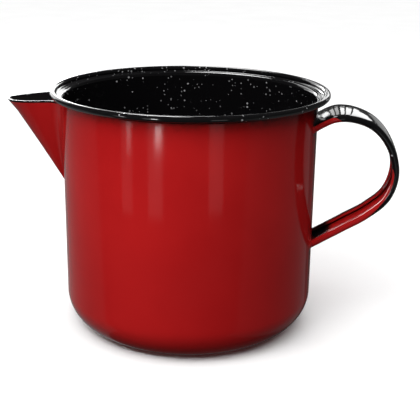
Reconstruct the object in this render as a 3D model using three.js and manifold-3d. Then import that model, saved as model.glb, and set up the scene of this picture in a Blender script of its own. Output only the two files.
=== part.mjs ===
// Candle melting pot in enamelled sheet steel: a deep-drawn vessel with a rolled rim, a pressed
// pouring spout welded over a window in the wall, and a strap handle with rolled edges.
// Millimetres, +Z up. The origin is the centre of the base, the spout points along -X and the
// handle stands out along +X. Every piece keeps a small clearance to its neighbours.

import * as THREE from 'three';
import { mergeVertices } from 'three/addons/utils/BufferGeometryUtils.js';
import Module from 'manifold-3d';

const wasm = await Module();
wasm.setup();

// Driving dimensions of the sheet and its joints
const sheet = 1.0; // steel with its coats of enamel
const clearance = 0.3; // between one piece and the next
const seamRadius = 0.6; // of the weld bead round the spout
const filletRadius = 1.1; // of the weld beads across the handle's ends

// Vessel
const wallRadius = 70; // outside of the straight wall
const baseCorner = 19; // outside radius from base to wall
const rimRadius = 76.5; // outside of the rolled rim
const rimHeight = 134; // top of the rolled rim
const rollRadius = 1.65; // of the tight roll along the rim
const neckBend = 2.2; // radius of the shoulder where the wall turns out to the rim
const flangeDrop = 3.0; // from the top of the roll down to the flat flange
const turns = 72; // facets round the vessel

// Pour window in the wall, an upside-down triangle with round corners
const windowTop = 122.5;
const windowBottom = 89;
const windowHalfWidth = 11;
const windowCorner = 3.5;

// Spout, a beak that narrows down to a point on the wall
const spoutTopHeight = 126.6; // of its top edge, beside the wall
const spoutDroop = 1.8; // by which the tip of the edge is lower
const spoutApexHeight = 75.4; // where the ridge meets the wall
const spoutReach = 103.6; // of the tip from the pot's axis
const spoutHalfWidth = 14.6; // of its parallel sides, at the top
const spoutNose = 22.5; // length of the rounded nose, at the top
const spoutLip = 1.2; // by which the pouring lip turns out
const flangeWidth = 7.2; // of the flared flange that lies on the wall
const flangeTail = 3; // by which the flange runs on below the ridge
const lipStart = 0.86; // share of the spout's height where the pouring lip starts
const innerStart = 0.12; // share of the spout's height where its hollow starts

// Strap handle
const strapWidth = 24.8;
const strapFlare = 9.4; // by which it is wider at its upper end
const flareStart = 110; // distance from the pot's axis where the upper arm starts to widen
const flareEnd = 75;
const strapRoll = 1.85; // radius of the rolled edges
const strapCrown = 0.3; // by which the outer face stands proud of the rolled edges
const upperRoot = new THREE.Vector2(66, 115); // inside the wall, before the end is trimmed
const lowerRoot = new THREE.Vector2(66, 48.2);
const farthest = new THREE.Vector2(113.2, 93.5); // where the upper arm turns into the lower one
const upperBends = [[72, 119.2], [80, 122.8], [90, 122.5], [100.5, 118], [108.8, 108.3]];
const lowerBends = [[109.6, 79.4], [99, 68.9], [86, 60.6]];
const strapSteps = 42;

// Weld round the spout, as shares of the spout's height where it bends, from the top down
const weldBends = [1, 0.8, 0.6, 0.4, 0.2, 0.08, 0, -0.035];

const red = new THREE.Color(0xa4191b);
const black = new THREE.Color(0x0b0a0b);

function degrees(angle) {
  return THREE.MathUtils.degToRad(angle);
}

// Points of a circular arc, both ends included.
function arc(centreX, centreY, radius, from, to, steps) {
  return Array.from({ length: steps + 1 }, (_, i) => {
    const angle = degrees(from + ((to - from) * i) / steps);
    return new THREE.Vector2(centreX + radius * Math.cos(angle), centreY + radius * Math.sin(angle));
  });
}

// Closed geometry to a solid that can be cut; triangles that shrink to a line are left out.
function toSolid(geometry) {
  const bare = geometry.clone();
  bare.deleteAttribute('normal');
  bare.deleteAttribute('uv');
  const merged = mergeVertices(bare, 1e-4);
  const corners = [];
  for (let i = 0; i < merged.index.count; i += 3) {
    const [a, b, c] = [0, 1, 2].map((k) => merged.index.getX(i + k));
    if (a !== b && b !== c && c !== a) corners.push(a, b, c);
  }
  return new wasm.Manifold(new wasm.Mesh({
    numProp: 3,
    vertProperties: new Float32Array(merged.attributes.position.array),
    triVerts: new Uint32Array(corners),
  }));
}

function toGeometry(solid) {
  const mesh = solid.getMesh();
  const geometry = new THREE.BufferGeometry();
  geometry.setAttribute('position', new THREE.BufferAttribute(mesh.vertProperties, 3));
  geometry.setIndex(new THREE.BufferAttribute(mesh.triVerts, 1));
  geometry.computeVertexNormals();
  return geometry;
}

// The space taken by the vessel, with the clearance that the other pieces keep to it.
function vesselSpace() {
  const height = rimHeight - 4;
  const space = new THREE.CylinderGeometry(wallRadius + clearance, wallRadius + clearance, height, turns);
  space.rotateX(Math.PI / 2);
  space.translate(0, 0, height / 2);
  return toSolid(space);
}

function vesselGeometry() {
  const cornerCentre = wallRadius - baseCorner;
  const neckCentre = wallRadius - sheet + neckBend;
  const neckHeight = rimHeight - flangeDrop - neckBend;
  const rollCentre = rimRadius - rollRadius;
  const rollHeight = rimHeight - rollRadius;
  const section = [
    new THREE.Vector2(0, 0),
    ...arc(cornerCentre, baseCorner, baseCorner, -90, 0, 7),
    ...arc(neckCentre, neckHeight, neckBend - sheet, 180, 90, 3),
    ...arc(rollCentre, rollHeight, rollRadius, -110, 215, 11),
    ...arc(neckCentre, neckHeight, neckBend, 90, 180, 4),
    ...arc(cornerCentre, baseCorner, baseCorner - sheet, 0, -90, 7),
    new THREE.Vector2(0, sheet),
  ];
  const vessel = new THREE.LatheGeometry(section, turns);
  vessel.rotateX(Math.PI / 2);
  return toGeometry(toSolid(vessel).subtract(pourWindow()));
}

// A prism through the wall on the spout's side.
function pourWindow() {
  const side = windowHalfWidth - windowCorner;
  const top = windowTop - windowCorner;
  const bottom = windowBottom + windowCorner;
  const lean = THREE.MathUtils.radToDeg(Math.atan2(side, top - bottom));
  const outline = new THREE.Shape([
    ...arc(side, top, windowCorner, -lean, 90, 5),
    ...arc(-side, top, windowCorner, 90, 180 + lean, 5),
    ...arc(0, bottom, windowCorner, 180 + lean, 360 - lean, 6),
  ]);
  const depth = 20;
  const prism = new THREE.ExtrudeGeometry(outline, { depth, bevelEnabled: false });
  const across = new THREE.Vector3(0, 1, 0);
  const up = new THREE.Vector3(0, 0, 1);
  const through = new THREE.Vector3(1, 0, 0);
  prism.applyMatrix4(new THREE.Matrix4().makeBasis(across, up, through));
  prism.translate(-wallRadius - depth / 2, 0, 0);
  return toSolid(prism);
}

// Half the width of the spout's flange on the wall, at a share of the ridge's height.
function flangeHalfWidth(share) {
  const belowTop = Math.max(share, 0);
  const tail = THREE.MathUtils.clamp((share - tailShare()) / (2 * flangeTail / spoutRise()), 0.02, 1);
  return spoutHalfWidth * belowTop + flangeWidth * Math.sqrt(tail * (2 - tail));
}

function spoutRise() {
  return spoutTopHeight - spoutApexHeight;
}

// The share of the ridge's height at which the flange ends, below the ridge.
function tailShare() {
  return -flangeTail / spoutRise();
}

// Plan outline of the spout at a share of the ridge's height, from one flange edge round the nose
// to the other and back through the vessel. inset sets the beak back by the sheet, for its inside.
function spoutOutline(share, inset) {
  const size = Math.max(share, 0);
  const face = wallRadius + clearance + sheet - inset;
  const halfWidth = Math.max(spoutHalfWidth * size - inset, 0);
  const lip = spoutLip * Math.max(0, size - lipStart) / (1 - lipStart);
  const noseLength = spoutNose * size + lip;
  const noseCentre = face + (spoutReach - spoutLip - spoutNose - face) * size;
  const onNose = ({ x, y }) => new THREE.Vector2(noseCentre + noseLength * x, halfWidth * y);
  const edge = flangeHalfWidth(share);
  const edgeOut = Math.sqrt(face * face - edge * edge);
  const corner = new THREE.Vector2(edgeOut + ((edge - halfWidth) * edge) / edgeOut, halfWidth);
  const fillet = new THREE.QuadraticBezierCurve(
    new THREE.Vector2(edgeOut, edge), corner, new THREE.Vector2(noseCentre, halfWidth));
  const nose = arc(0, 0, 1, 90, 0, 9).map(onNose);
  const half = [new THREE.Vector2(wallRadius - baseCorner, edge), ...fillet.getPoints(9), ...nose.slice(1)];
  const mirrored = half.slice(0, -1).reverse().map((point) => new THREE.Vector2(point.x, -point.y));
  return [...half, ...mirrored].map((point) => {
    const nearTip = THREE.MathUtils.smoothstep(point.x, face, spoutReach);
    const height = spoutApexHeight + spoutRise() * share - spoutDroop * nearTip * size;
    return new THREE.Vector3(-point.x, point.y, height);
  });
}

// The mean of a list of points.
function middle(points) {
  return points.reduce((sum, point) => sum.add(point), new THREE.Vector3()).divideScalar(points.length);
}

// A solid through a stack of closed outlines with equal counts of points, from the lowest up.
function loft(outlines) {
  const count = outlines[0].length;
  const points = [...outlines.flat(), middle(outlines[0]), middle(outlines.at(-1))];
  const [bottom, top] = [points.length - 2, points.length - 1];
  const last = (outlines.length - 1) * count;
  const index = [];
  for (let i = 0; i < count; i += 1) {
    const next = (i + 1) % count;
    index.push(bottom, next, i, top, last + i, last + next);
    for (let row = 0; row < last; row += count) {
      index.push(row + i, row + next, row + count + next, row + i, row + count + next, row + count + i);
    }
  }
  const geometry = new THREE.BufferGeometry().setFromPoints(points);
  geometry.setIndex(index);
  return toSolid(geometry);
}

function spoutLoft(inset, from, to, steps) {
  const shares = Array.from({ length: steps + 1 }, (_, i) => from + ((to - from) * i) / steps);
  return loft(shares.map((share) => spoutOutline(share, inset)));
}

function spoutGeometry() {
  const outside = spoutLoft(0, tailShare(), 1, 22);
  const inside = spoutLoft(sheet, innerStart, 1.05, 18);
  return toGeometry(outside.subtract(inside).subtract(vesselSpace()));
}

// A round bead along a line of points, with closed ends.
function beadGeometry(points, radius, steps) {
  const section = new THREE.Shape(arc(0, 0, radius, 0, 315, 7));
  const extrudePath = new THREE.CatmullRomCurve3(points);
  return new THREE.ExtrudeGeometry(section, { steps, extrudePath });
}

// The middle of a bead that lies on the wall, at a distance round the wall from the plane of the
// pot. direction is 1 on the handle's side and -1 on the spout's.
function onWall(sideways, height, radius, direction) {
  const reach = wallRadius + clearance + radius;
  const angle = sideways / reach;
  return new THREE.Vector3(direction * reach * Math.cos(angle), reach * Math.sin(angle), height);
}

// The weld runs down one edge of the spout's flange, round its tail and up the other edge. The
// edge slants, so the bead is set off from it sideways and down.
function spoutWeldGeometry() {
  const away = clearance + seamRadius;
  const sidewaysOff = 1.15 * away;
  const downOff = 0.3 * away;
  const tailOff = 1.3 * away;
  const leg = weldBends.map((share) => ({
    sideways: flangeHalfWidth(share) + sidewaysOff,
    height: spoutApexHeight + spoutRise() * share - downOff,
  }));
  const tail = onWall(0, spoutApexHeight - flangeTail - tailOff, seamRadius, -1);
  const left = leg.map(({ sideways, height }) => onWall(-sideways, height, seamRadius, -1));
  const right = leg.map(({ sideways, height }) => onWall(sideways, height, seamRadius, -1));
  return beadGeometry([...left, tail, ...right.reverse()], seamRadius, 44);
}

// The strap's middle line, from the root of its upper arm to the root of its lower arm.
function strapPath() {
  const bends = [upperRoot.toArray(), ...upperBends, farthest.toArray(), ...lowerBends, lowerRoot.toArray()];
  const points = bends.map(([out, up]) => new THREE.Vector3(out, 0, up));
  return new THREE.CatmullRomCurve3(points, false, 'centripetal');
}

// Section of the strap, seen along it: a crowned face whose edges roll round to the finger side.
function strapSection() {
  const rollCentre = strapWidth / 2 - strapRoll;
  const rollEnd = 165;
  const innerRoll = strapRoll - sheet;
  const face = new THREE.QuadraticBezierCurve(
    new THREE.Vector2(-rollCentre, -strapRoll),
    new THREE.Vector2(0, -strapRoll - 2 * strapCrown),
    new THREE.Vector2(rollCentre, -strapRoll)).getPoints(6);
  const back = face.slice(1, -1).reverse().map((point) => new THREE.Vector2(point.x, point.y + sheet));
  return new THREE.Shape([
    ...face.slice(1, -1),
    ...arc(rollCentre, 0, strapRoll, -90, rollEnd, 8),
    ...arc(rollCentre, 0, innerRoll, rollEnd, -90, 5),
    ...back,
    ...arc(-rollCentre, 0, innerRoll, 270, 180 - rollEnd, 5),
    ...arc(-rollCentre, 0, strapRoll, 180 - rollEnd, 270, 8),
  ]);
}

// Widens the strap towards its upper end: the face stretches and the rolled edges move apart.
function flareStrap(geometry) {
  const position = geometry.attributes.position;
  const faceHalfWidth = strapWidth / 2 - 2 * strapRoll;
  for (let i = 0; i < position.count; i += 1) {
    const upperArm = position.getZ(i) > farthest.y;
    const widening = 1 - THREE.MathUtils.smoothstep(position.getX(i), flareEnd, flareStart);
    const sideways = position.getY(i);
    const shareOfFace = THREE.MathUtils.clamp(sideways / faceHalfWidth, -1, 1);
    if (upperArm) position.setY(i, sideways + (shareOfFace * widening * strapFlare) / 2);
  }
  return geometry;
}

function handleGeometry() {
  const strap = new THREE.ExtrudeGeometry(strapSection(), { steps: strapSteps, extrudePath: strapPath() });
  return toGeometry(toSolid(flareStrap(strap)).subtract(vesselSpace()));
}

// A weld across the strap's outer face where it meets the wall, on the line from the strap's root
// to its next bend. outward is 1 above the strap and -1 below it.
function handleWeldGeometry(root, [bendOut, bendUp], halfLength, outward) {
  const slope = (bendUp - root.y) / (bendOut - root.x);
  const reach = wallRadius + clearance + filletRadius;
  const middle = root.y + slope * (reach - root.x);
  const offset = (strapRoll + strapCrown + clearance + filletRadius) * Math.hypot(1, slope);
  const height = middle + outward * offset;
  const points = [-1, -0.5, 0, 0.5, 1].map((side) => onWall(side * halfLength, height, filletRadius, 1));
  return beadGeometry(points, filletRadius, 12);
}

function piece(name, geometry, color) {
  const material = new THREE.MeshStandardMaterial({ color, roughness: 0.15, metalness: 0 });
  const mesh = new THREE.Mesh(geometry, material);
  mesh.name = name;
  return mesh;
}

const lowerHalfLength = strapWidth / 2 - strapRoll;
const upperHalfLength = lowerHalfLength + strapFlare / 2;
const pot = new THREE.Group();
pot.add(
  piece('pot_body', vesselGeometry(), red),
  piece('spout', spoutGeometry(), red),
  piece('spout_weld', spoutWeldGeometry(), red),
  piece('handle', handleGeometry(), black),
  piece('handle_weld_upper', handleWeldGeometry(upperRoot, upperBends[0], upperHalfLength, 1), black),
  piece('handle_weld_lower', handleWeldGeometry(lowerRoot, lowerBends.at(-1), lowerHalfLength, -1), red),
);

export default pot;
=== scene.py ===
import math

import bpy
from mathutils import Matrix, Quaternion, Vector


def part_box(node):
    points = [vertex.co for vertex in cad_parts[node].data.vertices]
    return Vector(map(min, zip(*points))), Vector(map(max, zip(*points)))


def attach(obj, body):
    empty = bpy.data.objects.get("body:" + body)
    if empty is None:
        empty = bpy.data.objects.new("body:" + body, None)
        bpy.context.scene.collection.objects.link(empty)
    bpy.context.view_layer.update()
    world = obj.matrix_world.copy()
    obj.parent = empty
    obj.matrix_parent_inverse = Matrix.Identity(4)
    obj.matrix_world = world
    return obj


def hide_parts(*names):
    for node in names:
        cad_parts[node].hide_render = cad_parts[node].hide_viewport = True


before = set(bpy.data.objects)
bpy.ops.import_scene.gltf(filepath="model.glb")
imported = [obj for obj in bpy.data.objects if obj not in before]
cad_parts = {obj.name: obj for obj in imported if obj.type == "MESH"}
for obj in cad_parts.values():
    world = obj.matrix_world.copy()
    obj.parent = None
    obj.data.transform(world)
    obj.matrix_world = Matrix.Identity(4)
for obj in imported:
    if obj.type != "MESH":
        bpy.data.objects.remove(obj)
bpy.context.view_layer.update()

# Looks of the candle melting pot: a drawn shell, a beak spout and a strap handle in glossy enamel,
# red outside and black with pale specks inside, with a sprayed black rim and handle.
# Shapes are worked out in millimetres, +Z up, with the spout along -X and the handle along +X.

MM = 0.001

# Sizes taken from the frame
BODY_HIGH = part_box("pot_body")[1] / MM
SPOUT_LOW, SPOUT_HIGH = (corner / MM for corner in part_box("spout"))
RIM_RADIUS = BODY_HIGH.y
RIM_HEIGHT = BODY_HIGH.z
SPOUT_REACH = -SPOUT_LOW.x
SPOUT_TOP = SPOUT_HIGH.z

# Sheet and vessel
SHEET = 1.0
WALL_RADIUS = 70.0
BASE_CORNER = 19.0
BASE_DISH = 0.6  # by which the middle of the base is pressed in
DISH_RADIUS = 40.0
DISH_END = 49.0
BASE_RINGS = (14, 28, 38, 41, 43, 45, 47, DISH_END)  # closer together where the dish ends
ROLL_RADIUS = 1.65
NECK_BEND = 2.2
FLANGE_DROP = 3.0
NECK_HEIGHT = RIM_HEIGHT - FLANGE_DROP - NECK_BEND
COLUMNS = 256  # facets round the vessel
COLUMN_WIDTH = 2 * math.pi * WALL_RADIUS / COLUMNS
WALL_STEPS = 28

# Pour window
WINDOW_TOP = 122.5
WINDOW_BOTTOM = 89.0
WINDOW_HALF_WIDTH = 11.0
WINDOW_CORNER = 3.5
WINDOW_POINT_GAP = 0.15
WINDOW_RINGS = 4
WINDOW_MARGIN = 2.0  # least height of wall above and below that is meshed round the window
WINDOW_SIDE_MARGIN = 3.0
WINDOW_CENTRE_RISE = 4.0  # of the point that the rings are drawn round, above the middle
WINDOW_ROUND = 0.45  # radius of the rounded edge
WINDOW_ROUND_MIDDLE = 0.13  # distance of the round's middle from both faces it joins

# Spout
SPOUT_DROOP = 1.8
SPOUT_APEX = 75.4
SPOUT_HALF_WIDTH = 14.6
SPOUT_NOSE = 22.5
SPOUT_LIP = 1.2
SPOUT_LIP_LENGTH = 14.0
SPOUT_LIP_START = 0.86
SPOUT_HOLLOW_START = 0.12
SPOUT_LEAST = 0.012  # share of the full size at which the beak starts
FLANGE_WIDTH = 7.2
FLANGE_TAIL = 3.0
FLANGE_GAP = 0.06  # between the back of the enamelled flange and the wall
FLANGE_FEATHER = (0.3, 4.5)  # distances from the edge over which the flange thins out
FLANGE_THINNING = 0.95
FLANGE_INSET = 0.5  # of the outer skin's edge, before it is thinned
FLANGE_BACK_INSET = 0.3
CLEARANCE = 0.3
SPOUT_RISE = SPOUT_TOP - SPOUT_APEX

# Strap handle
STRAP_WIDTH = 24.8
STRAP_FLARE = 9.4
FLARE_START = 110.0
FLARE_END = 75.0
STRAP_ROLL = 1.85
STRAP_ROLL_END = 165  # degrees round each edge at which its roll stops
STRAP_CROWN = 0.3
STRAP_EDGE = STRAP_WIDTH / 2 - STRAP_ROLL  # sideways place of each roll's middle
STRAP_FARTHEST = (113.17, 93.5)
STRAP_BENDS = [
    (66, 115), (72, 119.2), (80, 122.8), (90, 122.5), (100.5, 118), (108.8, 108.3),
    STRAP_FARTHEST, (109.6, 79.4), (99, 68.9), (86, 60.6), (66, 48.2),
]
STRAP_STEPS = 170
STRAP_SINK = 0.1  # by which its ends reach into the wall

# Seams
SPOUT_SEAM_SECTION = [  # (away from the flange's edge, height over the wall)
    (1.6, 0.01), (0.8, 0.05), (0.2, 0.14), (-0.4, 0.2), (-1.2, 0.2), (-1.6, 0.1), (0.5, -0.1),
]
STRAP_FILLET = 1.7
STRAP_FILLET_CURVE = [(1, 0), (0.55, 0.06), (0.25, 0.25), (0.06, 0.55), (0, 1)]

# The black coat and the brown painted shade under the rim. A pair holds both ends of a fade
SHEET_DEPTH_COAT = (0.75, 0.35)  # depths below the outer skin where the inside's coat ends
RIM_COAT = (128.3, 130.3)
# Painted shade: a thin brown darkening of the wall below the rim's overhang
UNDER_RIM_SHADE = 0.3
UNDER_RIM_SHADE_FADE = (121.0, 129.5)
# Painted shade under the rim round the handle's upper root, brown and partly black
HANDLE_ROOT_SHADE = 0.45
HANDLE_ROOT_SHADE_HEIGHT = 122.0
HANDLE_ROOT_SHADE_HALF_WIDTH = 26.0
HANDLE_ROOT_SHADE_HALF_HEIGHT = 14.0
HANDLE_ROOT_SHADE_FADE = (0.5, 1.1)  # as shares of its half width and half height
WITHIN_SPOUT_FADE = (-0.5, 1.0)  # distances inside the spout's edge
SPOUT_TOP_FADE = (1.0, 0.3)  # distances below the spout's top
TIP_COAT = 0.8
TIP_FADE = (4.5, 0.5)  # distances from the spout's tip
FULL_COAT = 0.99

# Fades of the strap's coat as shares of its length, and of its edges as distances sideways
UPPER_ROOT = (0.08, 0.15)
BEND = (0.42, 0.5)
LOWER_ARM = (0.6, 0.86)
LOWER_EDGE = (0.55, 0.65)
LOWER_ROOT = (0.87, 0.97)
EDGE_FADE = (8.5, 10.5)
ROOT_FADE = (-4.0, 6.0)


def arc(centre_x, centre_y, radius, start, end, steps):
    """Points of a circular arc, both ends included. Angles are in degrees."""
    points = []
    for i in range(steps + 1):
        angle = math.radians(start + (end - start) * i / steps)
        points.append((centre_x + radius * math.cos(angle), centre_y + radius * math.sin(angle)))
    return points


def even(start, end, steps):
    """Evenly spaced numbers, both ends included."""
    return [start + (end - start) * i / steps for i in range(steps + 1)]


def clamp(value, low=0.0, high=1.0):
    return min(max(value, low), high)


def smoothstep(value, low, high):
    share = clamp((value - low) / (high - low))
    return share * share * (3 - 2 * share)


def bezier(start, control, end, steps):
    """Points of a quadratic curve, both ends included."""
    points = []
    for t in even(0, 1, steps):
        a, b, c = (1 - t) * (1 - t), 2 * t * (1 - t), t * t
        points.append(tuple(a * p + b * q + c * r for p, q, r in zip(start, control, end)))
    return points


def loft(loops):
    """Points and faces of a closed skin through closed loops with equal counts of points."""
    count = len(loops[0])
    faces = []
    for row in range(len(loops) - 1):
        for i in range(count):
            a, b = row * count + i, row * count + (i + 1) % count
            faces.append((a, b, b + count, a + count))
    last = (len(loops) - 1) * count
    faces.append(tuple(reversed(range(count))))
    faces.append(tuple(last + i for i in range(count)))
    return [point for loop in loops for point in loop], faces


def new_piece(name, points, faces, cover, nodes, materials):
    """A smooth mesh piece that rides on the root and stands for CAD nodes. cover is how much of the
    black coat and of the brown painted shade under the rim lies over the red one at each point,
    from 0 to 1. Faces that are black all over take the second material."""
    mesh = bpy.data.meshes.new(name)
    mesh.from_pydata([[c * MM for c in point] for point in points], [], faces)
    mesh.validate()
    mesh.shade_smooth()
    coat = mesh.attributes.new("black_coat_and_shade", "FLOAT", "POINT")
    coat.data.foreach_set("value", cover)
    for material in materials:
        mesh.materials.append(material)
    for face in mesh.polygons:
        face.material_index = int(min(cover[i] for i in face.vertices) > FULL_COAT)
    piece = bpy.data.objects.new(name, mesh)
    bpy.context.scene.collection.objects.link(piece)
    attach(piece, "root")
    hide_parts(*nodes)
    return piece


# ---------------------------------------------------------------- vessel

def wall_heights():
    """Heights of the straight wall's rows."""
    return even(BASE_CORNER, NECK_HEIGHT, WALL_STEPS)


def vessel_profile():
    """Section of the shell from the middle of the underside out, over the rim and back inside.
    Also gives the rows where the outer and the inner straight wall start."""
    corner = WALL_RADIUS - BASE_CORNER
    neck = WALL_RADIUS - SHEET + NECK_BEND
    roll = RIM_RADIUS - ROLL_RADIUS
    roll_height = RIM_HEIGHT - ROLL_RADIUS
    under = [(r, BASE_DISH * (1 - smoothstep(r, DISH_RADIUS, DISH_END))) for r in BASE_RINGS]
    outer_corner = arc(corner, BASE_CORNER, BASE_CORNER, -90, 0, 24)[:-1]
    outer_wall = [(WALL_RADIUS, z) for z in wall_heights()]
    rim = (
        arc(neck, NECK_HEIGHT, NECK_BEND - SHEET, 180, 90, 8)[1:]
        + arc(roll, roll_height, ROLL_RADIUS, -110, 215, 36)
        + arc(neck, NECK_HEIGHT, NECK_BEND, 90, 180, 12)[:-1]
    )
    inner_wall = [(WALL_RADIUS - SHEET, z) for z in reversed(wall_heights())]
    inner_corner = arc(corner, BASE_CORNER, BASE_CORNER - SHEET, 0, -90, 24)[1:]
    inside = [(r, z + SHEET) for r, z in reversed(under)]
    outer_start = len(under) + len(outer_corner)
    inner_start = outer_start + len(outer_wall) + len(rim)
    profile = under + outer_corner + outer_wall + rim + inner_wall + inner_corner + inside
    return profile, outer_start, inner_start


def window_outline(steps):
    """The pour window as (sideways, height), anticlockwise seen from outside."""
    side = WINDOW_HALF_WIDTH - WINDOW_CORNER
    top = WINDOW_TOP - WINDOW_CORNER
    bottom = WINDOW_BOTTOM + WINDOW_CORNER
    lean = math.degrees(math.atan2(side, top - bottom))
    corners = (
        arc(side, top, WINDOW_CORNER, -lean, 90, steps)
        + arc(-side, top, WINDOW_CORNER, 90, 180 + lean, steps)
        + arc(0, bottom, WINDOW_CORNER, 180 + lean, 360 - lean, steps)
    )
    dense = []
    for i, (x, y) in enumerate(corners):
        next_x, next_y = corners[(i + 1) % len(corners)]
        pieces = max(1, int(math.hypot(next_x - x, next_y - y) / WINDOW_POINT_GAP))
        for k in range(pieces):
            dense.append((x + (next_x - x) * k / pieces, y + (next_y - y) * k / pieces))
    return dense


def block_loop(first_row, last_row, first_column, last_column):
    """(row, column) round the edge of a block of the wall, anticlockwise seen from outside."""
    columns = range(first_column, last_column)
    rows = range(first_row, last_row)
    return (
        [(first_row, c) for c in columns]
        + [(r, last_column) for r in rows]
        + [(last_row, c) for c in reversed(range(first_column + 1, last_column + 1))]
        + [(r, first_column) for r in reversed(range(first_row + 1, last_row + 1))]
    )


def window_block():
    """First and last row and column of the part of the wall that the window's rings replace."""
    heights = wall_heights()
    low = max(i for i, z in enumerate(heights) if z < WINDOW_BOTTOM - WINDOW_MARGIN)
    high = min(i for i, z in enumerate(heights) if z > WINDOW_TOP + WINDOW_MARGIN)
    half = math.ceil((WINDOW_HALF_WIDTH + WINDOW_SIDE_MARGIN) / COLUMN_WIDTH)
    return low, high, COLUMNS // 2 - half, COLUMNS // 2 + half


def window_spokes(loop):
    """For each (row, column) of a loop round the window: its place on the wall, the nearest place
    on the window's edge in the same direction, and that direction, all as (sideways, height)."""
    heights = wall_heights()
    outline = window_outline(8)
    centre_height = (WINDOW_TOP + WINDOW_BOTTOM) / 2 + WINDOW_CENTRE_RISE

    def bearing(place):
        return math.atan2(place[1] - centre_height, place[0])

    spokes = []
    for row, column in loop:
        start = ((column - COLUMNS // 2) * COLUMN_WIDTH, heights[row])
        angle = bearing(start)
        edge = min(outline, key=lambda place: turn_between(bearing(place), angle))
        spokes.append((start, edge, (math.cos(angle), math.sin(angle))))
    return spokes


def window_rings(spokes):
    """Rings of points that lead from the outer wall round the window's rounded edge to the inner
    wall. Each step has its share of the way to the edge, the distance it keeps from the edge and
    its distance from the pot's axis."""
    inner_radius = WALL_RADIUS - SHEET
    between = even(0, 1, WINDOW_RINGS)[1:-1]
    steps = [(share, WINDOW_ROUND, WALL_RADIUS) for share in between]
    steps += [
        (1, WINDOW_ROUND, WALL_RADIUS),
        (1, WINDOW_ROUND_MIDDLE, WALL_RADIUS - WINDOW_ROUND_MIDDLE),
        (1, 0, WALL_RADIUS - SHEET / 2),
        (1, WINDOW_ROUND_MIDDLE, inner_radius + WINDOW_ROUND_MIDDLE),
        (1, WINDOW_ROUND, inner_radius),
    ]
    steps += [(share, WINDOW_ROUND, inner_radius) for share in reversed(between)]
    rings = []
    for share, away, radius in steps:
        ring = []
        for (x, y), (edge_x, edge_y), (out_x, out_y) in spokes:
            sideways = x + (edge_x + away * out_x - x) * share
            height = y + (edge_y + away * out_y - y) * share
            ring.append(on_spout_side(sideways, height, radius))
        rings.append(ring)
    return rings


def on_spout_side(sideways, height, radius):
    """A point on a cylinder round the pot's axis. sideways is measured round the straight wall."""
    angle = math.pi + sideways / WALL_RADIUS
    return (radius * math.cos(angle), radius * math.sin(angle), height)


def turn_between(a, b):
    """The angle between two directions, from 0 to pi."""
    return abs((a - b + math.pi) % (2 * math.pi) - math.pi)


def lathe_faces(row_count, blocks):
    """Faces of a lathed skin, but none in the blocks of first and last row and column."""
    faces = []
    for row in range(row_count - 1):
        for column in range(COLUMNS):
            in_block = any(
                first <= row < last and left <= column < right
                for first, last, left, right in blocks
            )
            if not in_block:
                a = row * COLUMNS + column
                b = row * COLUMNS + (column + 1) % COLUMNS
                faces.append((a, b, b + COLUMNS, a + COLUMNS))
    return faces


def base_faces(row, middle, outside):
    """Faces that close one side of the base on its middle point."""
    faces = []
    for column in range(COLUMNS):
        a = row * COLUMNS + column
        b = row * COLUMNS + (column + 1) % COLUMNS
        faces.append((middle, b, a) if outside else (middle, a, b))
    return faces


def without_loose_points(points, faces):
    used = sorted({i for face in faces for i in face})
    place = {old: new for new, old in enumerate(used)}
    return [points[i] for i in used], [tuple(place[i] for i in face) for face in faces]


def build_vessel(materials):
    profile, outer_start, inner_start = vessel_profile()
    points = []
    for radius, height in profile:
        for column in range(COLUMNS):
            angle = 2 * math.pi * column / COLUMNS
            points.append((radius * math.cos(angle), radius * math.sin(angle), height))

    low, high, left, right = window_block()
    last_inner = inner_start + WALL_STEPS
    outer_block = (outer_start + low, outer_start + high, left, right)
    inner_block = (last_inner - high, last_inner - low, left, right)
    faces = lathe_faces(len(profile), (outer_block, inner_block))
    points.append((0, 0, BASE_DISH))
    faces += base_faces(0, len(points) - 1, outside=True)
    points.append((0, 0, BASE_DISH + SHEET))
    faces += base_faces(len(profile) - 1, len(points) - 1, outside=False)

    loop = block_loop(low, high, left, right)
    rings = [[(outer_start + row) * COLUMNS + column for row, column in loop]]
    for ring in window_rings(window_spokes(loop)):
        rings.append(list(range(len(points), len(points) + len(ring))))
        points += ring
    rings.append([(last_inner - row) * COLUMNS + column for row, column in loop])
    for ring, after in zip(rings, rings[1:]):
        for i in range(len(ring)):
            k = (i + 1) % len(ring)
            faces.append((ring[i], ring[k], after[k], after[i]))

    points, faces = without_loose_points(points, faces)
    cover = [vessel_black(Vector(point)) for point in points]
    return new_piece("pot_shell", points, faces, cover, ["pot_body"], materials)


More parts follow.
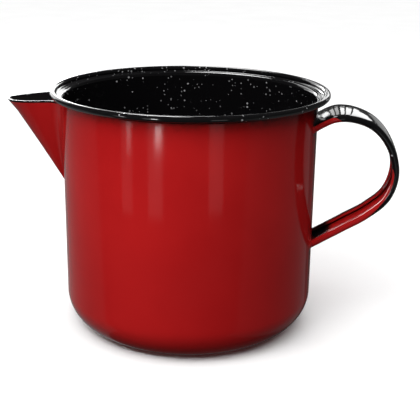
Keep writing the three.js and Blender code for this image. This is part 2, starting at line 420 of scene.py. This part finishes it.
def vessel_black(point):
    """The inside, the rim and the wall within and above the spout are black. Below the rim's
    overhang and round the handle's upper end, a thin brown painted shade darkens the red."""
    deep, shallow = SHEET_DEPTH_COAT
    radius = math.hypot(point.x, point.y)
    inside = 1 - smoothstep(radius, WALL_RADIUS - deep, WALL_RADIUS - shallow)
    if point.z < BASE_CORNER:
        corner = WALL_RADIUS - BASE_CORNER
        from_corner = math.hypot(max(radius - corner, 0), BASE_CORNER - point.z)
        inside = 1 - smoothstep(from_corner, BASE_CORNER - deep, BASE_CORNER - shallow)
    rim = smoothstep(point.z, *RIM_COAT)
    # Painted shade: a thin brown darkening of the wall below the rim's overhang
    under_rim_shade = UNDER_RIM_SHADE * smoothstep(point.z, *UNDER_RIM_SHADE_FADE)
    # Painted shade under the rim round the handle's upper root, brown and partly black
    sideways = WALL_RADIUS * math.atan2(point.y, point.x)
    up = point.z - HANDLE_ROOT_SHADE_HEIGHT
    from_root_shade = math.hypot(sideways / HANDLE_ROOT_SHADE_HALF_WIDTH, up / HANDLE_ROOT_SHADE_HALF_HEIGHT)
    patch = HANDLE_ROOT_SHADE * (1 - smoothstep(from_root_shade, *HANDLE_ROOT_SHADE_FADE))
    within_spout = 0.0
    if point.x < 0:
        share = (point.z - SPOUT_APEX) / SPOUT_RISE
        from_edge = SPOUT_HALF_WIDTH * share - abs(point.y)
        within_spout = smoothstep(from_edge, *WITHIN_SPOUT_FADE)
    return max(inside, rim, under_rim_shade, patch, within_spout)


# ---------------------------------------------------------------- spout

def flange_half_width(share):
    """Half the flange's width at a share of the beak's height. Its lower end is rounded."""
    tail = clamp((share + FLANGE_TAIL / SPOUT_RISE) / (2 * FLANGE_TAIL / SPOUT_RISE), 0.02, 1)
    return SPOUT_HALF_WIDTH * max(share, 0) + FLANGE_WIDTH * math.sqrt(tail * (2 - tail))


def beak_half(edge, face, size, half_width, reach):
    """Half a plan outline of the beak, from half the flange's width at the wall to the tip. face
    is the flange's distance from the pot's axis."""
    edge_out = math.sqrt(face * face - edge * edge)
    nose = SPOUT_NOSE * size
    nose_start = face + (reach - SPOUT_NOSE - face) * size
    corner = (edge_out + (edge - half_width) * edge / edge_out, half_width)
    half = bezier((edge_out, edge), corner, (nose_start, half_width), 16)
    half += [(nose_start + nose * x, half_width * y) for x, y in arc(0, 0, 1, 90, 0, 16)[1:]]
    return half


def beak_height(x, face, share, size):
    """Height of the beak at a share of its rise. It droops towards the tip."""
    near_tip = smoothstep(x, face, SPOUT_REACH)
    return SPOUT_APEX + SPOUT_RISE * share - SPOUT_DROOP * near_tip * size


def feathered(half, whole, face, back):
    """The enamel fills the step at the flange's edge, so the flange thins out to the wall."""
    thinned = []
    for x, y in half:
        share = 1 - smoothstep(whole - y, *FLANGE_FEATHER)
        thinned.append((x - FLANGE_THINNING * (face - back) * share, y))
    return [(math.sqrt(back * back - whole * whole), whole), *thinned]


def spout_loop(share):
    """A closed loop at a share of the beak's height: its outer skin and then its inner skin. Also
    gives the count of points on the outer skin."""
    size = max(share, SPOUT_LEAST)
    lip = SPOUT_LIP * max(0, size - SPOUT_LIP_START) / (1 - SPOUT_LIP_START)
    back = WALL_RADIUS + FLANGE_GAP
    face = WALL_RADIUS + CLEARANCE + SHEET
    reach = SPOUT_REACH - SPOUT_LIP
    whole = flange_half_width(share)

    def with_lip(half):
        return [(x + lip * smoothstep(x, reach - SPOUT_LIP_LENGTH, reach), y) for x, y in half]

    outer = with_lip(beak_half(whole - FLANGE_INSET, face, size, SPOUT_HALF_WIDTH * size, reach))
    outer = feathered(outer, whole, face, back)
    hollow = max((share - SPOUT_HOLLOW_START) / (1 - SPOUT_HOLLOW_START), SPOUT_LEAST)
    inner_width = (SPOUT_HALF_WIDTH - SHEET) * hollow
    inner_edge = whole - FLANGE_BACK_INSET
    inner = with_lip(beak_half(inner_edge, back, hollow, inner_width, reach - SHEET))
    loop = []
    for half in (outer, inner):
        skin = half + [(x, -y) for x, y in reversed(half[:-1])]
        skin = [(-x, y, beak_height(x, face, share, size)) for x, y in skin]
        loop += skin if half is outer else list(reversed(skin))
    return loop, len(outer) * 2 - 1


def rounded_top(loop, outer_count, radius):
    """Loops that close a sheet's top edge with a round edge."""
    outer = [Vector(p) for p in loop[:outer_count]]
    inner = [Vector(p) for p in reversed(loop[outer_count:])]
    pad = (outer_count - len(inner)) // 2
    inner = [inner[0]] * pad + inner + [inner[-1]] * pad
    loops = []
    for angle in (30, 55, 75):
        turn = math.radians(angle)
        up = Vector((0, 0, radius * math.sin(turn)))
        front = []
        back = []
        for a, b in zip(outer, inner):
            middle = (a + b) / 2
            front.append(middle + (a - middle) * math.cos(turn) + up)
            back.append(middle + (b - middle) * math.cos(turn) + up)
        back = back[pad:len(back) - pad]
        loops.append([tuple(p) for p in front + list(reversed(back))])
    return loops


def build_spout(materials):
    tail = -FLANGE_TAIL / SPOUT_RISE
    edge_radius = SHEET / 2
    loops = []
    for share in even(tail, 0, 6)[:-1] + even(0, 1, 44):
        loop, outer_count = spout_loop(share)
        drop = edge_radius * max(share, 0)
        loops.append([(x, y, z - drop) for x, y, z in loop])
    loops += rounded_top(loops[-1], outer_count, edge_radius)
    points, faces = loft(loops)
    count = len(loops[0])
    # Strips between the outer and the inner skin close both ends, in place of the loft's own
    faces = faces[:-2]
    for start, flip in ((0, True), (len(points) - count, False)):
        faces += strip_cap(start, count, outer_count, flip)
    cover = []
    for i, point in enumerate(points):
        inside = i % count >= outer_count
        cover.append(1.0 if inside else spout_black(Vector(point)))
    return new_piece("pouring_spout", points, faces, cover, ["spout"], materials)


def strip_cap(start, count, outer_count, flip):
    """Faces that close one end of a sheet. Its loop runs along its outer, then its inner skin."""
    inner_count = count - outer_count
    pad = (outer_count - inner_count) // 2
    partner = []
    for i in range(outer_count):
        k = clamp(i - pad, 0, inner_count - 1)
        partner.append(start + count - 1 - int(k))
    faces = []
    for i in range(outer_count - 1):
        face = [start + i, start + i + 1, partner[i + 1], partner[i]]
        if partner[i] == partner[i + 1]:
            face = face[:3]
        faces.append(tuple(reversed(face)) if flip else tuple(face))
    return faces


def spout_black(point):
    """On its outside the beak is black only along its top edge and at its worn tip."""
    reach = -point.x
    droop = SPOUT_DROOP * smoothstep(reach, WALL_RADIUS + CLEARANCE + SHEET, SPOUT_REACH)
    low, high = SPOUT_TOP_FADE
    top_edge = smoothstep(point.z + droop, SPOUT_TOP - low, SPOUT_TOP - high)
    far, near = TIP_FADE
    tip = smoothstep(reach, SPOUT_REACH - far, SPOUT_REACH - near)
    return max(top_edge, TIP_COAT * tip)


# ---------------------------------------------------------------- strap

def strap_line():
    """The strap's middle line as evenly spaced (out, up) points: a centripetal spline."""
    bends = [Vector(bend) for bend in STRAP_BENDS]
    bends = [2 * bends[0] - bends[1], *bends, 2 * bends[-1] - bends[-2]]
    dense = []
    for before, start, end, after in zip(bends, bends[1:], bends[2:], bends[3:]):
        gaps = [math.sqrt((q - p).length) for p, q in ((before, start), (start, end), (end, after))]
        first, middle, last = gaps
        out = (start - before) / first - (end - before) / (first + middle) + (end - start) / middle
        into = (end - start) / middle - (after - start) / (middle + last) + (after - end) / last
        out *= middle
        into *= middle
        for t in even(0, 1, 60)[:-1]:
            square, cube = t * t, t * t * t
            dense.append(
                start * (2 * cube - 3 * square + 1) + out * (cube - 2 * square + t)
                + end * (3 * square - 2 * cube) + into * (cube - square)
            )
    dense.append(bends[-2])
    return even_points([p for p in dense if p.x > WALL_RADIUS - 0.6], STRAP_STEPS)


def even_points(points, steps):
    """Points at equal distances along a line of points."""
    lengths = [0.0]
    for p, q in zip(points, points[1:]):
        lengths.append(lengths[-1] + (q - p).length)
    spaced = []
    k = 0
    for distance in even(0, lengths[-1], steps):
        while k < len(points) - 2 and lengths[k + 1] < distance:
            k += 1
        share = (distance - lengths[k]) / (lengths[k + 1] - lengths[k])
        spaced.append(points[k].lerp(points[k + 1], share))
    return spaced


def strap_crown():
    """The crowned face between the strap's two rolled edges, as (sideways, outward)."""
    top = (0, STRAP_ROLL + 2 * STRAP_CROWN)
    return bezier((-STRAP_EDGE, STRAP_ROLL), top, (STRAP_EDGE, STRAP_ROLL), 14)[1:-1]


def strap_outline():
    """Section of the strap as (sideways, outward, facing): a crowned face with edges that roll
    round to the finger side. facing is 1 where the skin faces away from the fingers, 0 at the
    strap's sides and -1 where it faces the fingers."""
    end = -STRAP_ROLL_END
    crown = strap_crown()
    face = [(x, y, 1) for x, y in crown]
    edge = [(x, y, y / STRAP_ROLL) for x, y in arc(STRAP_EDGE, 0, STRAP_ROLL, 90, end, 20)]
    tip_x, tip_y = arc(STRAP_EDGE, 0, STRAP_ROLL - SHEET / 2, end, end, 1)[0]
    tip = arc(tip_x, tip_y, SHEET / 2, end, end - 180, 6)[1:-1]
    inside = arc(STRAP_EDGE, 0, STRAP_ROLL - SHEET, end, 90, 14)
    right = edge + [(x, y, -1) for x, y in tip + inside]
    left = [(-x, y, facing) for x, y, facing in reversed(right)]
    back = [(x, y - SHEET, -1) for x, y in reversed(crown)]
    return list(reversed(face + right + back + left))


def frames_along(line):
    """For each point of the strap's line: place, direction and outward direction."""
    frames = []
    for i, point in enumerate(line):
        ahead = line[min(i + 1, len(line) - 1)] - line[max(i - 1, 0)]
        ahead.normalize()
        place = Vector((point.x, 0, point.y))
        frames.append((place, Vector((ahead.x, 0, ahead.y)), Vector((-ahead.y, 0, ahead.x))))
    return frames


def strap_point(frame_at, sideways, outward):
    """A point of the strap's section, set in place along its line. The upper arm is wider."""
    place, _, out = frame_at
    point = place + out * outward
    widening = 1 - smoothstep(point.x, FLARE_END, FLARE_START)
    if point.z <= STRAP_FARTHEST[1]:
        widening = 0
    share = clamp(sideways / (STRAP_WIDTH / 2 - 2 * STRAP_ROLL), -1, 1)
    point.y = sideways + share * widening * STRAP_FLARE / 2
    return point


def onto_wall(point, ahead, radius):
    """Moves a point along a direction onto the vessel's wall."""
    a = ahead.x * ahead.x + ahead.y * ahead.y
    b = point.x * ahead.x + point.y * ahead.y
    c = point.x * point.x + point.y * point.y - radius * radius
    return point + ahead * ((-b + math.copysign(math.sqrt(b * b - a * c), b)) / a)


def build_strap(materials):
    frames = frames_along(strap_line())
    outline = strap_outline()
    loops = []
    for i, frame_at in enumerate(frames):
        loop = [strap_point(frame_at, x, y) for x, y, _ in outline]
        if i in (0, len(frames) - 1):
            loop = [onto_wall(p, frame_at[1], WALL_RADIUS - STRAP_SINK) for p in loop]
        loops.append(loop)
    points, faces = loft(loops)
    cover = []
    for i, loop in enumerate(loops):
        along = i / (len(loops) - 1)
        cover += [strap_black(along, facing, p.y) for p, (_, _, facing) in zip(loop, outline)]
    return new_piece("strap_handle", points, faces, cover, ["handle"], materials)


def strap_black(along, facing, sideways):
    """The black coat is sprayed on from above and from outside. It fades to red on the sides of
    the upper arm near the wall, on the finger side past the bend and along the lower arm, whose
    root has a black patch on one side. along runs from 0 at the upper root to 1 at the lower."""
    reach = 2.5 * smoothstep(along, *UPPER_ROOT)  # black all round past the root
    reach -= 1.3 * smoothstep(along, *BEND)  # red on the finger side past the bend
    reach -= 2.4 * smoothstep(along, *LOWER_ARM)  # red on the outer side along the lower arm
    spray = smoothstep(facing + reach - 0.8, -0.3, 0.3)
    far_edge = smoothstep(along, *LOWER_EDGE) * smoothstep(sideways, *EDGE_FADE)
    root = smoothstep(along, *LOWER_ROOT) * smoothstep(sideways, *ROOT_FADE)
    return max(spray, far_edge, root)


# ---------------------------------------------------------------- seams

def spout_seam_line():
    """The flange's edge as (sideways, height), down one side and up the other."""
    tail = -FLANGE_TAIL / SPOUT_RISE
    shares = even(1, 0, 30)[:-1]
    shares += [tail * (1 - math.cos(a * math.pi / 16)) for a in range(9)]
    leg = []
    for share in shares:
        height = SPOUT_APEX + SPOUT_RISE * share - SHEET / 2 * max(share, 0)
        leg.append((flange_half_width(share), height))
    lowest = (0, leg[-1][1] - 0.1)
    return [(-y, z) for y, z in leg] + [lowest] + list(reversed(leg))


def build_spout_seam(materials):
    """The fused weld round the spout's flange: a concave fillet between the flange and the wall."""
    line = spout_seam_line()
    loops = []
    for i, (side, height) in enumerate(line):
        before = line[max(i - 1, 0)]
        after = line[min(i + 1, len(line) - 1)]
        length = math.hypot(after[0] - before[0], after[1] - before[1])
        out_side = abs(before[1] - after[1]) / length * (1 if side > 0 else -1)
        out_height = abs(after[0] - before[0]) / length
        loop = []
        for away, over_wall in SPOUT_SEAM_SECTION:
            sideways = side + away * out_side
            radius = WALL_RADIUS + over_wall
            out = -math.sqrt(radius * radius - sideways * sideways)
            loop.append((out, sideways, height - away * out_height))
        loops.append(loop)
    points, faces = loft(loops)
    cover = [0.0] * len(points)
    return new_piece("spout_seam", points, faces, cover, ["spout_weld"], materials)


def seam_outline():
    """The outer side of the strap's section as (sideways, outward) and the normal there."""
    edge = arc(STRAP_EDGE, 0, STRAP_ROLL, 90, -60, 14)
    normals = arc(0, 0, 1, 90, -60, 14)
    right = [(x, y, nx, ny) for (x, y), (nx, ny) in zip(edge, normals)]
    left = [(-x, y, -nx, ny) for x, y, nx, ny in reversed(right)]
    return left + [(x, y, 0, 1) for x, y in strap_crown()] + right


def build_strap_seam(name, node, at_start, materials):
    """The fused weld where the strap's outer side meets the wall: a concave fillet round it. It
    is coated as the strap is beside it."""
    frame_at = frames_along(strap_line())[0 if at_start else -1]
    ahead = frame_at[1] if at_start else -frame_at[1]
    outline = seam_outline()
    loops = []
    cover = []
    for x, y, side_normal, out_normal in outline if at_start else reversed(outline):
        foot = onto_wall(strap_point(frame_at, x, y), ahead, WALL_RADIUS)
        normal = frame_at[2] * out_normal + Vector((0, 1, 0)) * side_normal
        radial = Vector((foot.x, foot.y, 0)).normalized()
        along_wall = (normal - radial * normal.dot(radial)).normalized()
        ring = []
        for wall_share, strap_share in STRAP_FILLET_CURVE:
            reach = along_wall * wall_share + ahead * strap_share
            ring.append(foot + reach * STRAP_FILLET)
        ring[0] += radial * 0.02
        # The last two points lie inside the strap and inside the wall
        ring.append(foot - normal * 0.4 + ahead * 0.5 * STRAP_FILLET)
        ring.append(foot - radial * 0.3)
        loops.append([tuple(p) for p in ring])
        cover += [strap_black(0.0 if at_start else 1.0, out_normal, foot.y)] * len(ring)
    points, faces = loft(loops)
    return new_piece(name, points, faces, cover, [node], materials)


# ---------------------------------------------------------------- materials

class Graph:
    """Short ways to add shader nodes to a material."""

    def __init__(self, name):
        self.material = bpy.data.materials.new(name)
        self.material.use_nodes = True
        self.tree = self.material.node_tree
        self.shader = self.tree.nodes["Principled BSDF"]

    def add(self, kind, **values):
        node = self.tree.nodes.new(kind)
        for key, value in values.items():
            setattr(node, key, value)
        return node

    def link(self, source, target):
        self.tree.links.new(source, target)

    def feed(self, socket, value):
        if isinstance(value, bpy.types.NodeSocket):
            self.link(value, socket)
        else:
            socket.default_value = value

    def place(self):
        return self.add("ShaderNodeTexCoord").outputs["Object"]

    def noise(self, scale, detail):
        node = self.add("ShaderNodeTexNoise")
        node.inputs["Scale"].default_value = scale
        node.inputs["Detail"].default_value = detail
        self.link(self.place(), node.inputs["Vector"])
        return node.outputs["Fac"]

    def math(self, operation, first, second=0.0, clamped=False):
        node = self.add("ShaderNodeMath", operation=operation, use_clamp=clamped)
        self.feed(node.inputs[0], first)
        self.feed(node.inputs[1], second)
        return node.outputs[0]

    def between(self, value, low, high, to_low=0.0, to_high=1.0):
        node = self.add("ShaderNodeMapRange", interpolation_type="SMOOTHSTEP")
        self.feed(node.inputs["Value"], value)
        limits = {"From Min": low, "From Max": high, "To Min": to_low, "To Max": to_high}
        for name, number in limits.items():
            node.inputs[name].default_value = number
        return node.outputs["Result"]

    def mix(self, share, first, second):
        node = self.add("ShaderNodeMix", data_type="RGBA")
        self.feed(node.inputs["Factor"], share)
        self.feed(node.inputs["A"], first)
        self.feed(node.inputs["B"], second)
        return next(output for output in node.outputs if output.type == "RGBA")


RED = (0.45, 0.0112, 0.0115, 1)
DEEP_RED = (0.39, 0.0085, 0.0092, 1)
BLACK = (0.0032, 0.0030, 0.0034, 1)
BROWN = (0.045, 0.012, 0.010, 1)
SPECK = (0.42, 0.42, 0.43, 1)
PAPER = (0.91, 0.91, 0.91, 1)
PALE_PAPER = (0.93, 0.93, 0.93, 1)


def specks(graph, scale, size, share):
    """Small pale specks in the black coat: 1 on a speck. share is the part of cells with one."""
    cells = graph.add("ShaderNodeTexVoronoi", feature="F1")
    cells.inputs["Scale"].default_value = scale
    graph.link(graph.place(), cells.inputs["Vector"])
    chance = graph.add("ShaderNodeSeparateColor")
    graph.link(cells.outputs["Color"], chance.inputs[0])
    crowd = graph.between(graph.noise(22, 1.0), 0.35, 0.65, 0.3 * share, share)
    chosen = graph.math("LESS_THAN", chance.outputs[0], crowd)
    radius = graph.math("MULTIPLY", chance.outputs[1], size)
    near = graph.math("LESS_THAN", cells.outputs["Distance"], radius)
    strength = graph.between(chance.outputs[2], 0, 1, 0.35, 1.0)
    return graph.math("MULTIPLY", graph.math("MULTIPLY", chosen, near), strength)


def coat_shares(graph):
    """How much of the black coat and of its brown edge lies at a place. Both end raggedly."""
    coat = graph.add("ShaderNodeAttribute", attribute_name="black_coat_and_shade").outputs["Fac"]
    grain = graph.math("SUBTRACT", graph.noise(420, 3.0), 0.5)
    cloud = graph.math("SUBTRACT", graph.noise(70, 2.0), 0.5)
    ragged = graph.math("ADD", coat, graph.math("MULTIPLY", grain, 0.2))
    ragged = graph.math("ADD", ragged, graph.math("MULTIPLY", cloud, 0.15))
    # The brown share also carries the painted shade under the rim
    return graph.between(ragged, 0.3, 0.75), graph.between(ragged, 0.1, 0.5)


def enamel_colour(graph, specked):
    """Two depths of red under the brown edge and the black coat, with pale specks."""
    black, brown = coat_shares(graph)
    depth = graph.between(graph.noise(16, 3.0), 0.3, 0.7)
    colour = graph.mix(depth, RED, DEEP_RED)
    colour = graph.mix(brown, colour, BROWN)
    colour = graph.mix(black, colour, BLACK)
    dots = graph.math("MULTIPLY", specks(graph, 230, 0.11, specked), black)
    fine = graph.math("MULTIPLY", specks(graph, 500, 0.3, specked), black)
    stray = specks(graph, 130, 0.07, 0.02)
    dots = graph.math("ADD", dots, stray)
    dots = graph.math("ADD", dots, fine, clamped=True)
    return graph.mix(dots, colour, SPECK)


def orange_peel(graph, strength):
    """The fine waves of a fired coat, as a bumped normal."""
    bump = graph.add("ShaderNodeBump")
    bump.inputs["Strength"].default_value = strength
    bump.inputs["Distance"].default_value = 0.0003
    waves = graph.noise(110, 2.0)
    grain = graph.math("MULTIPLY", graph.noise(420, 1.0), 0.15)
    graph.link(graph.math("ADD", waves, grain), bump.inputs["Height"])
    return bump.outputs["Normal"]


def enamel(name, ior, smoothest, roughest, specked, peel=0.12):
    """Glossy fired enamel. ior sets how much it mirrors, specked how many cells of the black coat
    hold a speck, and peel how strong its orange peel is."""
    graph = Graph(name)
    graph.link(enamel_colour(graph, specked), graph.shader.inputs["Base Color"])
    rough = graph.between(graph.noise(35, 4.0), 0.35, 0.75, smoothest, roughest)
    graph.link(rough, graph.shader.inputs["Roughness"])
    graph.shader.inputs["IOR"].default_value = ior
    graph.link(orange_peel(graph, peel), graph.shader.inputs["Normal"])
    return graph.material


def floor_material():
    graph = Graph("floor_paper")
    cloud = graph.between(graph.noise(12, 2.0), 0.3, 0.7)
    graph.link(graph.mix(cloud, PAPER, PALE_PAPER), graph.shader.inputs["Base Color"])
    graph.shader.inputs["Roughness"].default_value = 1
    graph.shader.inputs["Specular IOR Level"].default_value = 0
    return graph.material


# ---------------------------------------------------------------- stage

CAMERA_PLACE = Vector((0.0693, -0.4851, 0.2237))
CAMERA_AHEAD = Vector((-0.1119, 0.9439, -0.3108))
CAMERA_ROLL = 0.9  # degrees anticlockwise, seen from behind
CAMERA_LENS = 77.23
FLOOR_HALF = 40.0
FLOOR_HEIGHT = -0.0003
ROOM_FOR_CAMERA = 0.95
ROOM_OTHERWISE = 0.07
LIGHTS_AIM = Vector((0, 0, 0.07))


def add_camera():
    camera = bpy.data.objects.new("camera", bpy.data.cameras.new("camera"))
    camera.data.sensor_width = 36
    camera.data.lens = CAMERA_LENS
    camera.data.clip_start = 0.01
    camera.location = CAMERA_PLACE
    level = CAMERA_AHEAD.to_track_quat("-Z", "Y")
    camera.rotation_mode = "QUATERNION"
    camera.rotation_quaternion = level @ Quaternion((0, 0, 1), math.radians(CAMERA_ROLL))
    bpy.context.scene.collection.objects.link(camera)
    bpy.context.scene.camera = camera


def add_floor():
    """A wide pale floor. It lights nothing and shows in no reflection, so the pot's edges stay as
    dark as in the photo."""
    mesh = bpy.data.meshes.new("floor")
    signs = ((-1, -1), (1, -1), (1, 1), (-1, 1))
    corners = [(x * FLOOR_HALF, y * FLOOR_HALF, FLOOR_HEIGHT) for x, y in signs]
    mesh.from_pydata(corners, [], [(0, 1, 2, 3)])
    mesh.materials.append(floor_material())
    floor = bpy.data.objects.new("floor", mesh)
    bpy.context.scene.collection.objects.link(floor)
    floor.visible_glossy = False
    floor.visible_diffuse = False


def add_area(name, place, facing, size, radiance, shows):
    """A flat light that the camera doesn't see. facing is where it shines, size its width and
    height, radiance how bright its face is, and shows what it lights: diffuse or glossy."""
    light = bpy.data.lights.new(name, "AREA")
    light.shape = "RECTANGLE"
    light.size, light.size_y = size
    light.energy = radiance * size[0] * size[1] * math.pi
    lamp = bpy.data.objects.new(name, light)
    lamp.location = place
    lamp.rotation_mode = "QUATERNION"
    lamp.rotation_quaternion = facing.to_track_quat("-Z", "Y")
    lamp.visible_camera = False
    lamp.visible_diffuse = shows == "diffuse"
    lamp.visible_glossy = shows == "glossy"
    bpy.context.scene.collection.objects.link(lamp)


def add_light(name, azimuth, distance, height, size, radiance, shows):
    """A flat light that faces the pot. azimuth is in degrees to the left of the camera, seen from
    the pot."""
    towards_camera = math.atan2(CAMERA_PLACE.y, CAMERA_PLACE.x)
    angle = towards_camera - math.radians(azimuth)
    place = Vector((distance * math.cos(angle), distance * math.sin(angle), height))
    add_area(name, place, LIGHTS_AIM - place, size, radiance, shows)


def add_card(name, seen_from, distance, sides, heights, radiance):
    """A card behind the pot that only shows as a reflection. It spans degrees to the right of
    straight back and degrees above the level, both seen from a place on the pot."""
    angles = (*sides, *heights)
    left, right, low, high = (distance * math.tan(math.radians(angle)) for angle in angles)
    back = Vector((CAMERA_AHEAD.x, CAMERA_AHEAD.y, 0)).normalized()
    to_right = Vector((back.y, -back.x, 0))
    place = seen_from + back * distance + to_right * (left + right) / 2
    place.z += (low + high) / 2
    add_area(name, place, -back, (right - left, high - low), radiance, "glossy")


def add_sky():
    """A wide soft light from straight above that lights the floor evenly out to the horizon."""
    light = bpy.data.lights.new("sky", "SUN")
    light.energy = 3.1
    light.angle = math.radians(100)
    lamp = bpy.data.objects.new("sky", light)
    lamp.visible_glossy = False
    bpy.context.scene.collection.objects.link(lamp)


def add_world():
    """A room that is pale to the camera, dim in reflections and adds only a little light."""
    world = bpy.data.worlds.new("studio")
    world.use_nodes = True
    nodes, links = world.node_tree.nodes, world.node_tree.links
    rays = nodes.new("ShaderNodeLightPath")
    strength = nodes.new("ShaderNodeMapRange")
    strength.inputs["To Min"].default_value = ROOM_OTHERWISE
    strength.inputs["To Max"].default_value = ROOM_FOR_CAMERA
    links.new(rays.outputs["Is Camera Ray"], strength.inputs["Value"])
    links.new(strength.outputs["Result"], nodes["Background"].inputs["Strength"])
    nodes["Background"].inputs["Color"].default_value = (1, 1, 1, 1)
    bpy.context.scene.world = world


def add_soft_lights():
    """Lights from the front left, the front and the back, and two close by: one that reaches in
    under the rim and one that lifts the foot of the wall."""
    add_light("key", 46, 0.58, 0.7, (0.5, 0.5), 3.9, "diffuse")
    add_light("front", 2, 0.58, 0.68, (0.4, 0.4), 1.6, "diffuse")
    add_light("under_rim", 26, 0.22, 0.18, (0.24, 0.04), 5.6, "diffuse")
    add_light("back", 200, 0.8, 0.8, (0.6, 0.6), 1.6, "diffuse")
    add_light("bounce", 15, 0.14, 0.012, (0.26, 0.03), 0.5, "diffuse")


def add_wall_reflections():
    """Upright strips with softer strips round them, a haze at both edges of the wall and a bright
    card high up for the rim and the foot."""
    add_light("haze_left", 123, 0.5, -0.2, (0.9, 0.55), 0.25, "glossy")
    add_light("haze_right", -90, 0.5, -0.2, (1.0, 0.55), 0.15, "glossy")
    add_light("ceiling_card", 162, 0.7, 1.3, (0.4, 0.42), 24.0, "glossy")
    add_light("strip_near", 24.2, 0.31, 0.087, (0.024, 0.062), 26.0, "glossy")
    add_light("strip_near_haze", 26.5, 0.312, 0.062, (0.062, 0.125), 1.3, "glossy")
    add_light("strip_far", 48, 0.31, 0.084, (0.02, 0.066), 7.0, "glossy")
    add_light("strip_far_haze", 50, 0.312, 0.06, (0.05, 0.12), 0.9, "glossy")
    add_light("strip_side", -20, 0.31, 0.05, (0.06, 0.09), 1.1, "glossy")


def add_window_panes():
    """Window panes that show on the strap's top, along its lower arm and round the rim."""
    handle_top = Vector((0.088, 0, 0.124))
    handle_arm = Vector((0.1, 0.01, 0.068))
    rim_left = Vector((-0.07, -0.015, 0.132))
    add_card("pane_root", handle_top, 1.5, (-6.5, -2.5), (6.5, 13), 3.0)
    add_card("pane_dim", handle_top, 1.5, (-1.6, 0.8), (8, 14.5), 1.6)
    add_card("pane_dimmer", handle_top, 1.5, (2, 4.6), (9, 16), 1.2)
    add_card("pane_narrow", handle_top, 1.5, (6, 8.3), (10, 17), 3.0)
    add_card("pane_middle", handle_top, 1.5, (9.2, 12), (9.5, 18), 3.0)
    add_card("pane_long", handle_top, 1.5, (12.8, 22), (8.5, 22), 3.0)
    add_card("pane_low", handle_top, 1.5, (17, 36), (-8, 4), 0.4)
    add_card("pane_arm", handle_arm, 1.5, (-21, -13.2), (-9, 18), 12.0)
    add_card("window", rim_left, 1.5, (-45, -8), (0, 38), 2.5)
    add_card("pane_rim", rim_left, 0.25, (-8, 19), (-3, 16), 3.0)


def light_stage():
    """Soft light from all round, and cards that only show as reflections."""
    bpy.context.scene.view_settings.view_transform = "Standard"
    add_world()
    add_sky()
    add_soft_lights()
    add_wall_reflections()
    add_window_panes()


add_camera()
add_floor()
light_stage()
black_enamel = enamel("black_enamel", 1.48, 0.04, 0.09, 0.8)
coats = [enamel("red_enamel", 1.22, 0.08, 0.13, 0.05), black_enamel]
handle_coats = [
    enamel("handle_enamel", 1.4, 0.05, 0.1, 0.04, peel=0.3),
    enamel("handle_black_enamel", 1.48, 0.04, 0.09, 0.1, peel=0.3),
]
build_vessel(coats)
build_spout(coats)
build_spout_seam(coats)
build_strap(handle_coats)
build_strap_seam("upper_strap_seam", "handle_weld_upper", True, handle_coats)
build_strap_seam("lower_strap_seam", "handle_weld_lower", False, handle_coats)
